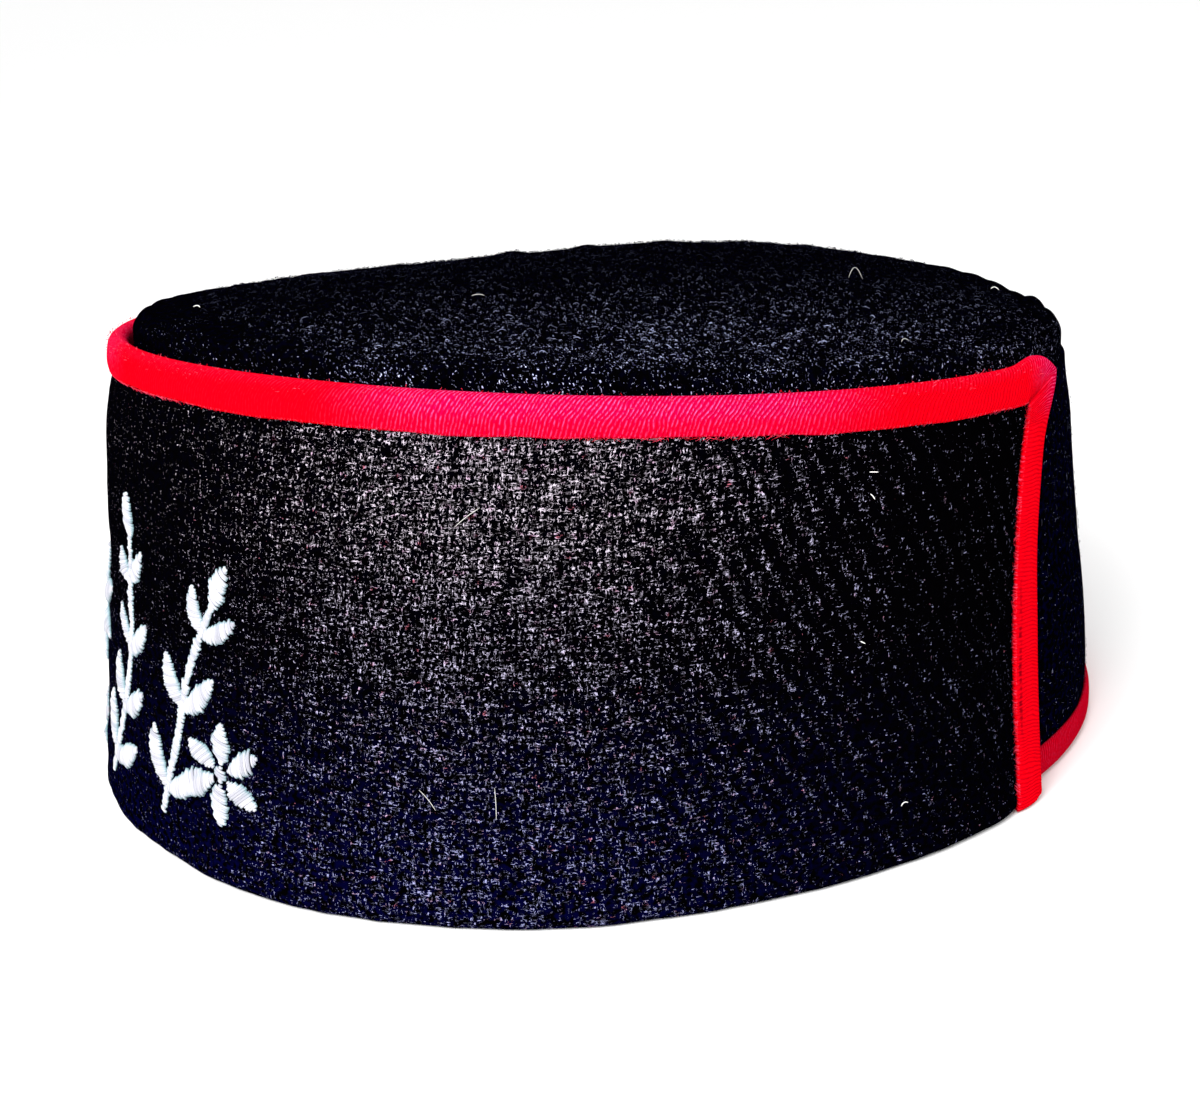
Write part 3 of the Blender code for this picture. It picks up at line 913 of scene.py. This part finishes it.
ribbonWidth = float(profileRun(*ribbonProfile(cap["felt"] / 2)[:2])[-1])
ribbonMiddle = ribbonWidth - binding["middleIn"]
makeCuffBinding(makeRibbonSatin("cuffSatin", ribbonMiddle, ribbonWidth))
# The hem's ribbon: the same satin darkened by painted shade, with a painted magenta sheen over all of it
makeHemBinding(makeRibbonSatin("hemSatinPaintedShade", ribbonMiddle, ribbonWidth, 0.66, 0.3))
print("ribbon binding is in place")

# Loose fibres that stand on the felt

fibres = {
    "fixed": {"Roughness": 0.9, "Specular IOR Level": 0.0},
    "cuffCount": 7000, "crownCount": 8000, "wallCount": 900,
    "shortest": 0.0005, "longest": 0.0022, "radius": 0.000027, "stand": 0.00013,
    "straightShare": 0.6, "headingSpread": 0.3, "bend": 0.45, "taper": (0.8, 1.0, 0.9, 0.35),
    # frontLeast and endLoss dim the cuff fibres towards the front and the ends, partly as painted shade
    "edgeGap": 0.0008, "cuffFrom": 0.0026, "frontLeast": 0.15, "endLoss": 0.85,
    # The crown fibres dim towards the far side as painted shade
    "crownReach": (0.068, 0.086), "crownShare": 0.965, "farLeast": 0.06, "nearMost": 1.8,
    "nearFrom": 0.014, "nearRun": 0.08, "nearPower": 2.8,
    "wallRadius": 0.09, "wallHalf": 0.8, "wallFrom": 0.009, "wallTo": 0.003,
}
cuffFibre = makeThread("cuffFibre", (0.002, 0.002, 0.004, 1), (0.42, 0.41, 0.5, 1), fibres["fixed"])
crownFibre = makeThread("crownFibre", (0.0006, 0.0006, 0.004, 1), (0.46, 0.5, 0.76, 1), fibres["fixed"])


# Four points along a bent line: root + direction t + bend t squared, lying close to the felt
def layFibres(name, surfaceAt, u, v, fibre, seed, bright,
              size=1.0, thick=1.0, rise=1.0, rarity=1.8):
    draw = np.random.default_rng(seed)
    root = surfaceAt(u, v)
    alongU = unit(surfaceAt(u + smallStep, v) - root)
    normal = unit(np.cross(alongU, surfaceAt(u, v + smallStep) - root))
    alongV = np.cross(normal, alongU)
    count = len(u)
    heading = draw.uniform(0, 2 * np.pi, count)
    isStraight = draw.random(count) < fibres["straightShare"]
    straight = np.round(heading / (np.pi / 2)) * np.pi / 2 + draw.normal(0, fibres["headingSpread"], count)
    heading = np.where(isStraight, straight, heading)[:, None]
    length = fibres["shortest"] + (fibres["longest"] - fibres["shortest"]) * draw.random(count) ** 3
    length = size * length[:, None, None]
    forward = np.cos(heading) * alongU + np.sin(heading) * alongV
    sideways = np.cross(normal, forward)
    bend = draw.normal(0, fibres["bend"], (count, 1, 1))
    t = np.linspace(0, 1, 4)[None, :, None]
    lift = rise * fibres["stand"] * draw.uniform(0.3, 1.6, (count, 1, 1))
    paths = root[:, None] + length * (t * forward[:, None] + bend * t ** 2 * sideways[:, None])
    paths = paths + normal[:, None] * lift * np.sin(np.pi * (0.08 + 0.84 * t)) * 1.3
    radii = thick * fibres["radius"] * draw.uniform(0.7, 1.5, (count, 1)) * np.array([fibres["taper"]])
    tone = np.minimum(1, bright * draw.random(count) ** rarity)
    threads(name, paths, radii, normal, 3, fibre, tone)


# The dome by its plan: share is where x and y lie between the middle and the shoulder
def domeAt(x, y):
    angle = np.arctan2(y / cap["halfLength"], x / cap["halfWidth"])
    edge = wallAt(angle, rimAt(angle), cap["crownDepth"] + cap["shoulder"])
    share = np.hypot(x, y) / np.hypot(edge[..., 0], edge[..., 1] - cap["centreShift"])
    return crownAt(angle, cap["shoulder"], 0, np.minimum(share, 0.999))


def wallFace(run, height):
    angle = run / fibres["wallRadius"]
    return wallAt(angle, height, cap["wallDepth"] - backEase(angle) - wallOut(angle, height))


# Brightest on the sides, and towards the front and the ends ever darker, partly as painted shade
def layCuffFibres(draw, count):
    gap, low, least = fibres["edgeGap"], fibres["cuffFrom"], fibres["frontLeast"]
    along = draw.uniform(cap["endFaceWidth"] + gap, cuffLength - cap["endFaceWidth"] - gap, count)
    height = low + (cuffRim(along) - cap["faceWidth"] - gap - low) * draw.random(count)
    fromFront = np.abs(along - cuffLength / 2)
    bright = least + (1 - least) * easeOf(fromFront, *feltLook["frontFade"])
    bright = bright * (1 - fibres["endLoss"] * easeOf(fromFront, *feltLook["endFade"]))
    layFibres("cuffFibres", cuffFace, along, height, cuffFibre, 51, bright)


# Brightness = least + most times a power of the way to the near side, as painted shade towards the far side
def layCrownFibres(draw, count):
    angle = draw.uniform(0, 2 * np.pi, count)
    share = np.sqrt(draw.random(count)) * fibres["crownShare"]
    reachX, reachY = fibres["crownReach"]
    x, y = share * np.cos(angle) * reachX, share * np.sin(angle) * reachY
    near = np.clip((x + fibres["nearFrom"]) / fibres["nearRun"], 0, 1)
    bright = fibres["farLeast"] + fibres["nearMost"] * near ** fibres["nearPower"]
    layFibres("crownFibres", domeAt, x, y, crownFibre, 52, bright,
              size=0.6, thick=1.6, rise=2.0, rarity=3.2)


def layWallFibres(draw, count):
    angle = np.pi / 2 + draw.uniform(-fibres["wallHalf"], fibres["wallHalf"], count)
    low = fibres["wallFrom"]
    height = low + (crownFoot(angle) - fibres["wallTo"] - low) * draw.random(count)
    layFibres("wallFibres", wallFace, angle * fibres["wallRadius"], height, crownFibre, 53, 0.25)


fibreDraw = np.random.default_rng(77)
layCuffFibres(fibreDraw, fibres["cuffCount"])
layCrownFibres(fibreDraw, fibres["crownCount"])
layWallFibres(fibreDraw, fibres["wallCount"])
print("loose fibres are laid")

# Frayed threads at the ribbon's edges, and a few hairs of lint on the felt

fuzz = {
    "fixed": {"Roughness": 0.8, "Specular IOR Level": 0.05},
    "topCount": 1900, "endCount": 300, "rollCount": 1300, "radius": 0.000045, "longest": 0.0009,
    "rollLongest": 0.0005, "rollOut": 0.0003, "rollEnds": 0.006, "edgeEnds": 0.009, "ends": (0.004, 0.078),
    "tucked": 0.0002, "above": 0.00008, "onRibbon": 0.0008, "steps": 4, "taper": (1.0, 1.0, 0.8, 0.4),
    "lintRadius": 0.000062, "lintSteps": 12, "lintAbove": 0.00022, "shortLint": 0.002, "shortThick": 1.6,
    # where along the cuff and how high, length, heading in degrees, bend, stand
    "lint": [(0.104, 0.0203, 0.0056, 92, 0.1, 0), (0.1118, 0.0712, 0.0052, 40, -0.25, 0),
             (0.0433, 0.0751, 0.0016, 170, 0.1, 0), (0.0378, 0.0126, 0.0017, 20, -2.4, 0),
             (0.1135, 0.0218, 0.0045, 128, 0.3, 0), (0.0436, 0.0704, 0.0014, 128, 0.5, 0),
             (0.044, 0.045, 0.0011, 145, 0.1, 0)],
    # the same on the crown, placed by its x and y
    "crownLint": [(0.0122, 0.0517, 0.003, 90, 0.9, 0.0022), (0.011, -0.0765, 0.0017, 120, 1.5, 0.0002),
                  (0.0263, -0.0248, 0.0024, 100, 0.8, 0.0002), (0.0604, 0.045, 0.0021, 60, 1.0, 0.0004),
                  (0.0003, 0.0868, 0.0018, 100, 1.2, 0.0005)],
}


# Short threads that stand up off the rolled edge
def rollThreads(draw, t):
    count = fuzz["rollCount"]
    along = draw.uniform(fuzz["rollEnds"], cuffLength - fuzz["rollEnds"], count)[:, None]
    length = fuzz["rollLongest"] * draw.random((count, 1))
    turn = draw.uniform(0.1, 1.5, (count, 1))
    out = cap["roll"] + fuzz["rollOut"] + length * t
    u = along + length * draw.normal(0, 0.8, (count, 1)) * t
    paths = cuffAt(u, cuffRim(u) - cap["roll"] + out * np.sin(turn), cap["felt"] / 2 - out * np.cos(turn))
    return paths, paths[:, 3] - paths[:, 0] + np.array([0.00001, 0, 0])


# Roots on the edge; each thread runs down the felt, bent to one side
def makeRibbonFuzz():
    draw = np.random.default_rng(58)
    many, few = fuzz["topCount"], fuzz["endCount"]
    side = cap["endFaceWidth"]
    along = draw.uniform(fuzz["edgeEnds"], cuffLength - fuzz["edgeEnds"], many)
    along = np.concatenate([along, np.full(few, side), np.full(few, cuffLength - side)])
    height = np.concatenate([cuffRim(along[:many]) - cap["faceWidth"], draw.uniform(*fuzz["ends"], 2 * few)])
    count = len(along)
    away = np.where(np.arange(count) < many, 0, np.where(along < cuffLength / 2, 1, -1))[:, None]
    down = np.where(away == 0, -1, 0)
    length = fuzz["longest"] * draw.random(count)[:, None] ** 1.5
    t = np.linspace(0, 1, fuzz["steps"])[None]
    wander = draw.normal(0, 0.7, (count, 1)) * t + draw.normal(0, 0.8, (count, 1)) * t ** 2
    u, v = (start[:, None] + length * (way * t + (way == 0) * wander) - fuzz["tucked"] * way
            for start, way in ((along, away), (height, down)))
    paths = cuffAt(u, v, -np.maximum(swellAt(u, v), fuzz["onRibbon"] * (1 - t)) - fuzz["above"])
    normals = unit(cuffAt(along, height, -0.001 + 0 * along) - cuffAt(along, height, 0 * along))
    onRoll, outwards = rollThreads(draw, t)
    paths = np.concatenate([paths, onRoll])
    normals = unit(np.concatenate([normals, np.cross(outwards, np.array([[0.3, 0.5, 0.8]]))]))
    count = len(paths)
    radii = fuzz["radius"] * draw.uniform(0.7, 1.3, (count, 1)) * np.array([fuzz["taper"]])
    colour = makeThread("frayedRibbon", (0.7, 0.0, 0.01, 1), (1.0, 0.1, 0.2, 1), fuzz["fixed"])
    piece = threads("ribbonFuzz", paths, radii, normals, 3, colour, draw.random(count) ** 1.5)


def onCuff(u, v):
    return cuffFace(u, v, fuzz["lintAbove"])


def onCrown(x, y):
    return domeAt(x, y - cap["centreShift"]) + np.array([0, 0, 0.00025])


# Each hair is a part of a circle on the felt: its heading turns by bend over its length.
# Off the felt it rises by stand times sin(pi t).
def makeLint(name, hairs, surfaceAt):
    steps = fuzz["lintSteps"]
    u, v, length, heading, bend, stand = (column[:, None] for column in np.array(hairs).T)
    t = np.linspace(0, 1, steps)[None]
    turn = np.radians(heading) + bend * (t - 0.5)
    u = u - np.cumsum(length / (steps - 1) * np.cos(turn), axis=1)
    v = v + np.cumsum(length / (steps - 1) * np.sin(turn), axis=1)
    paths = surfaceAt(u, v)
    forward = paths[:, 6] - paths[:, 4]
    across = np.cross(forward, surfaceAt(u[:, 5], v[:, 5] + 0.001) - paths[:, 5])
    beside = np.cross(forward, surfaceAt(u[:, 5] + 0.001, v[:, 5]) - paths[:, 5])
    longer = np.linalg.norm(across, axis=1) > np.linalg.norm(beside, axis=1)
    normals = unit(np.where(longer[:, None], across, beside))
    paths[..., 2] += stand * np.sin(np.pi * t)
    isShort = length < fuzz["shortLint"]
    radii = fuzz["lintRadius"] * np.where(isShort, fuzz["shortThick"], 1.0)
    radii = radii * np.clip(4 * np.minimum(t, 1 - t) + 0.4, 0, 1)
    pale = makeThread("lint", (0.35, 0.34, 0.3, 1), (0.85, 0.84, 0.8, 1), fuzz["fixed"])
    piece = threads(name, paths, radii, normals, 5, pale, np.where(isShort[:, 0], 1.0, 0.45))


makeRibbonFuzz()
makeLint("lintHairs", fuzz["lint"], onCuff)
makeLint("crownLint", fuzz["crownLint"], onCrown)
print("ribbon fuzz and lint are in place")

# Satin-stitch ornament on the front of the cuff: rosettes and leafy sprigs of a common kind

spray = {
    "fixed": {"Roughness": 0.55, "Specular IOR Level": 0.25},
    # The edge colour is a painted teal shadow along the edges of the stitches
    "dark": (0.36, 0.36, 0.41, 1), "light": (0.62, 0.61, 0.65, 1), "edge": (0.22, 0.36, 0.4, 1),
    "spacing": 0.00043, "thread": 0.00029, "slant": 0.35, "pad": 0.0008, "ragged": 0.0002,
    "narrowest": 0.0002, "padWidth": 0.0022, "sunk": 0.00005, "steps": 120, "stemSteps": 60,
    "stemWidth": 0.0009, "leafWidth": 0.0023, "leafLength": 0.0125, "leafTurn": 50, "leafBend": 0.35,
    "tipLength": 0.0085, "tipWidth": 0.0021, "stemEnds": 0.2, "heartEnds": 0.5, "leafEnds": 0.75,
    "rosettes": [((0.0, 0.04), 8, 0.003, 0.013, 0.0024), ((0.0, 0.013), 5, 0.0016, 0.006, 0.0015)],
    "sideRosettes": [((0.059, 0.022), 6, 0.0022, 0.0095, 0.0022)],
    "sprigs": [([(0.017, 0.009), (0.025, 0.025), (0.029, 0.042), (0.028, 0.06)], 4),
               ([(0.042, 0.01), (0.047, 0.026), (0.05, 0.04), (0.056, 0.053)], 3)],
}


# Cubic curve through the points, its tangents half the step between neighbours
def curveThrough(points, count):
    p = np.asarray(points, float)
    p = np.vstack([2 * p[0] - p[1], p, 2 * p[-1] - p[-2]])
    t = np.linspace(0, len(p) - 3 - 1e-9, count)
    i = t.astype(int)
    f = (t - i)[:, None]
    a, b, c, d = p[i], p[i + 1], p[i + 2], p[i + 3]
    return 0.5 * (2 * b + (c - a) * f + (2 * a - 5 * b + 4 * c - d) * f ** 2 + (3 * b - a - 3 * c + d) * f ** 3)


# Threads lie side by side across a stroke: centre + width share (square to the stroke, slanted)
def strokeThreads(centre, halfWidth, draw):
    run = np.concatenate([[0], np.cumsum(np.linalg.norm(np.diff(centre, axis=0), axis=1))])
    count = max(4, int(run[-1] / spray["spacing"]))
    at = np.linspace(0, run[-1], count)
    middle = stacked(*(np.interp(at, run, centre[:, k]) for k in (0, 1)))
    wide = np.interp(at, run, halfWidth) + draw.normal(0, spray["ragged"], count)
    heading = unit(np.gradient(middle, axis=0))
    square = stacked(-heading[:, 1], heading[:, 0])
    side = square * math.cos(spray["slant"]) + heading * math.sin(spray["slant"])
    share = np.array([-1.0, -0.8, -0.45, 0.0, 0.45, 0.8, 1.0])
    reach = np.maximum(wide, spray["narrowest"])[:, None] * share
    plan = middle[:, None] + side[:, None] * reach[..., None]
    full = np.clip(wide / spray["padWidth"], 0.35, 1)[:, None]
    lift = spray["pad"] * np.sqrt(1 - (share * 0.99) ** 2)[None] * full - spray["sunk"]
    # The last value marks the stroke's edges, where the painted shadow goes
    return plan, lift, np.broadcast_to(np.abs(share) ** 6, lift.shape)


def rayAt(turn):
    return np.array([math.cos(turn), math.sin(turn)])


def makeSpray():
    draw = np.random.default_rng(64)
    strokes = []

    def put(points, width, ends):
        share = np.linspace(0, 1, spray["steps"])
        halfWidth = width * np.sin(np.pi * (0.03 + 0.94 * share)) ** ends
        strokes.append(strokeThreads(curveThrough(points, spray["steps"]), halfWidth, draw))

    def rosette(middle, count, inner, outer, width):
        for k in range(count):
            ray = rayAt(2 * math.pi * (k + 0.5) / count)
            reaches = (inner, 0.5 * (inner + outer), outer)
            put([middle + reach * ray for reach in reaches], width, spray["leafEnds"])
        heart = 0.6 * inner
        put([middle - (0, heart), middle, middle + (0, heart)], heart, spray["heartEnds"])

    # Leaves leave the stem in pairs, a turn to each side, and bend back up towards its line
    def sprig(points, pairs):
        stem = curveThrough(points, spray["stemSteps"])
        put(stem[np.linspace(0, len(stem) - 1, 6).astype(int)], spray["stemWidth"], spray["stemEnds"])
        for k in range(pairs):
            at = int(6 + 44 * k / max(1, pairs - 1))
            right, up = stem[at + 1] - stem[at]
            half = 0.5 * spray["leafLength"] * (1 - 0.13 * k)
            for side in (-1, 1):
                turn = math.atan2(up, right) + side * math.radians(spray["leafTurn"])
                out, bent = rayAt(turn), rayAt(turn - spray["leafBend"] * side)
                leaf = [stem[at], stem[at] + half * out, stem[at] + half * (out + bent)]
                put(leaf, spray["leafWidth"] * (1 - 0.08 * k), spray["leafEnds"])
        tip = unit(stem[-1] - stem[-2])
        put([stem[-1], stem[-1] + 0.004 * tip, stem[-1] + spray["tipLength"] * tip],
            spray["tipWidth"], spray["leafEnds"])

    for (x, y), *rest in spray["rosettes"]:
        rosette(np.array([x, y]), *rest)
    for side in (-1, 1):
        for (x, y), *rest in spray["sideRosettes"]:
            rosette(np.array([side * x, y]), *rest)
        for points, pairs in spray["sprigs"]:
            sprig([(side * x, y) for x, y in points], pairs)
    plan, lift, edge = (np.concatenate(parts) for parts in zip(*strokes))
    along, height = cuffLength / 2 - plan[..., 0], plan[..., 1]
    paths = cuffFace(along, height, lift)
    u, v = along[:, 3], height[:, 3]
    middle = cuffFace(u, v)
    normals = unit(np.cross(cuffFace(u - smallStep, v) - middle, cuffFace(u, v + smallStep) - middle))
    radii = np.full(paths.shape[:2], spray["thread"])
    material = makeThread("sprayThread", spray["dark"], spray["light"], spray["fixed"], spray["edge"])
    piece = threads("frontSpray", paths, radii, normals, 5, material, draw.random(len(paths)), edge)


makeSpray()
print("front spray is stitched")

# Stage: pale floor, soft light and the camera

stage = {
    "floor": 0.99, "grainScale": 60.0, "floorHalf": 15.0, "world": 1.0, "aim": (0, 0, 0.05),
    # each lamp's place, size and power
    "lamps": {"key": ((0.42, -0.3, 0.5), 0.4, 5.5), "fill": ((0.55, 0.45, 0.3), 0.5, 0.3)},
}
camera = {
    "azimuth": 80.307, "elevation": 18.664, "roll": -3.129, "distance": 0.38227,
    "target": (0.0, 0.00129, 0.0517), "lens": 54.81, "shiftY": -0.0584,
}


def aimed(place, target):
    back = unit(np.subtract(place, target))
    right = unit(np.cross(-back, (0, 0, 1)))
    return right, np.cross(right, -back), back


def placed(item, place, right, up, back):
    rows = [[right[k], up[k], back[k], place[k]] for k in range(3)] + [[0, 0, 0, 1]]
    item.matrix_world = Matrix(rows)
    bpy.context.scene.collection.objects.link(item)


def makeFloor():
    material, tree, shader = newMaterial("paleFloor", {"Roughness": 0.9, "Specular IOR Level": 0.1})
    place = addNode(tree, "TexCoord", {}).outputs["Object"]
    light, dark = ((tone, tone, tone, 1) for tone in (stage["floor"], 0.99 * stage["floor"]))
    pale = blendOf(tree, noiseOf(tree, place, stage["grainScale"], 3.0), light, dark)
    tree.links.new(pale, shader.inputs["Base Color"])
    half = stage["floorHalf"]
    mesh = bpy.data.meshes.new("floor")
    corners = [(-half, -half, 0), (half, -half, 0), (half, half, 0), (-half, half, 0)]
    mesh.from_pydata(corners, [], [(0, 1, 2, 3)])
    mesh.materials.append(material)
    floor = bpy.data.objects.new("floor", mesh)
    bpy.context.scene.collection.objects.link(floor)


def makeLight():
    world = bpy.data.worlds.new("studio")
    bpy.context.scene.world = world
    world.use_nodes = True
    background = world.node_tree.nodes["Background"].inputs
    background["Color"].default_value = (1, 1, 1, 1)
    background["Strength"].default_value = stage["world"]
    for name, (place, size, power) in stage["lamps"].items():
        lamp = bpy.data.lights.new(name, "AREA")
        lamp.shape = "DISK"
        lamp.size = size
        lamp.energy = power
        placed(bpy.data.objects.new(name, lamp), place, *aimed(place, stage["aim"]))
    bpy.context.scene.view_settings.view_transform = "Standard"


# Turned about the target by azimuth and elevation, then rolled about its own line
def makeCamera():
    azimuth, elevation, roll = (math.radians(camera[key]) for key in ("azimuth", "elevation", "roll"))
    level = math.cos(elevation)
    back = np.array([math.sin(azimuth) * level, -math.cos(azimuth) * level, math.sin(elevation)])
    place = np.array(camera["target"]) + camera["distance"] * back
    right, up, back = aimed(place, camera["target"])
    c, s = math.cos(roll), math.sin(roll)
    lens = bpy.data.cameras.new("view")
    lens.sensor_width = 36
    lens.lens = camera["lens"]
    lens.shift_y = camera["shiftY"]
    lens.clip_start = 0.01
    lens.clip_end = 20
    item = bpy.data.objects.new("view", lens)
    placed(item, place, c * right + s * up, c * up - s * right, back)
    bpy.context.scene.camera = item


makeFloor()
makeLight()
makeCamera()
print("stage and camera are set")
